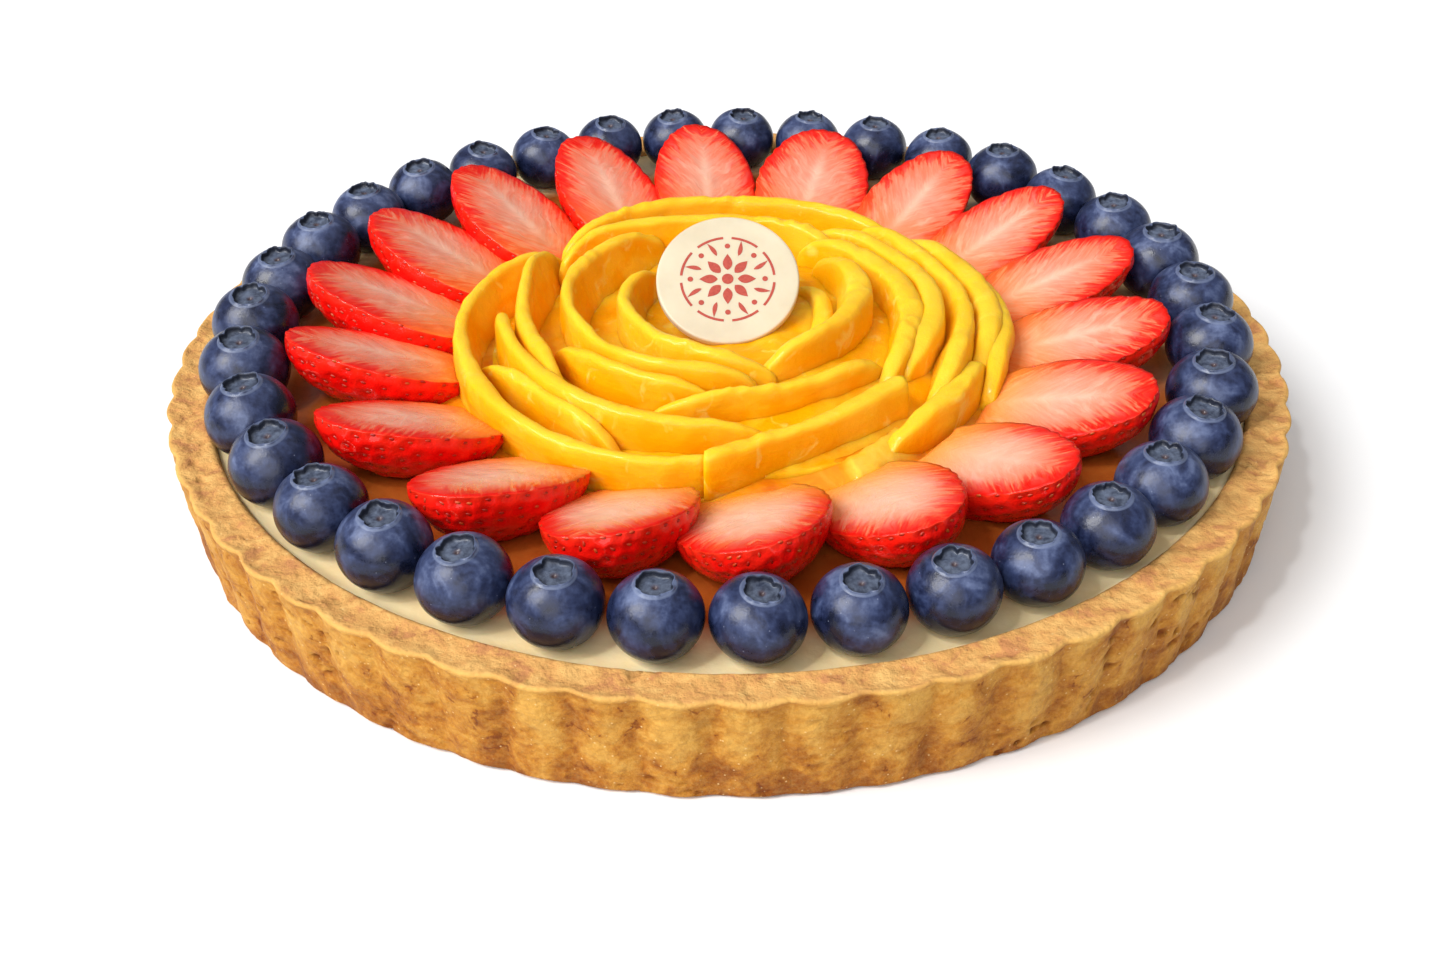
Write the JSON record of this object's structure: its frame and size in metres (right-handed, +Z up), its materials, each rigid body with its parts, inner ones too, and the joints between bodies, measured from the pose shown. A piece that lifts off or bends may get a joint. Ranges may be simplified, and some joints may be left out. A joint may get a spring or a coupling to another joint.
{
  "type": "fruit tart",
  "caption": "Round fluted tart crust filled with custard, ringed by whole blueberries and fanned strawberry halves, with a rosette of mango ribbons and a leaning round chocolate medallion.",
  "frame": {"origin": "centre of the crust's underside, on the surface it rests on", "axes": "+Z up; -Y towards the side the medallion faces; +X to the right seen from that side"},
  "size_m": [0.2212, 0.2212, 0.0457],
  "materials": {
    "crust": "baked shortcrust, dry and fine-grained, matt",
    "custard": "smooth custard under a thin clear glaze",
    "blueberry": "dark skin with a pale waxy bloom",
    "strawberry": "glossy red skin with seeds, pale streaked cut face",
    "mango": "wet, slightly translucent fruit flesh",
    "white_chocolate": "satin white chocolate with a printed rosette ornament"
  },
  "bodies": {
    "root": {"crust": "crust", "custard": "custard", "blueberry_01": "blueberry", "blueberry_02": "blueberry", "blueberry_03": "blueberry", "blueberry_04": "blueberry", "blueberry_05": "blueberry", "blueberry_06": "blueberry", "blueberry_07": "blueberry", "blueberry_08": "blueberry", "blueberry_09": "blueberry", "blueberry_10": "blueberry", "blueberry_11": "blueberry", "blueberry_12": "blueberry", "blueberry_13": "blueberry", "blueberry_14": "blueberry", "blueberry_15": "blueberry", "blueberry_16": "blueberry", "blueberry_17": "blueberry", "blueberry_18": "blueberry", "blueberry_19": "blueberry", "blueberry_20": "blueberry", "blueberry_21": "blueberry", "blueberry_22": "blueberry", "blueberry_23": "blueberry", "blueberry_24": "blueberry", "blueberry_25": "blueberry", "blueberry_26": "blueberry", "blueberry_27": "blueberry", "blueberry_28": "blueberry", "blueberry_29": "blueberry", "blueberry_30": "blueberry", "blueberry_31": "blueberry", "blueberry_32": "blueberry", "blueberry_33": "blueberry", "blueberry_34": "blueberry", "blueberry_35": "blueberry", "strawberry_half_01": "strawberry", "strawberry_half_02": "strawberry", "strawberry_half_03": "strawberry", "strawberry_half_04": "strawberry", "strawberry_half_05": "strawberry", "strawberry_half_06": "strawberry", "strawberry_half_07": "strawberry", "strawberry_half_08": "strawberry", "strawberry_half_09": "strawberry", "strawberry_half_10": "strawberry", "strawberry_half_11": "strawberry", "strawberry_half_12": "strawberry", "strawberry_half_13": "strawberry", "strawberry_half_14": "strawberry", "strawberry_half_15": "strawberry", "strawberry_half_16": "strawberry", "strawberry_half_17": "strawberry", "strawberry_half_18": "strawberry", "mango_rosette": "mango", "medallion": "white_chocolate"}
  },
  "joints": []
}
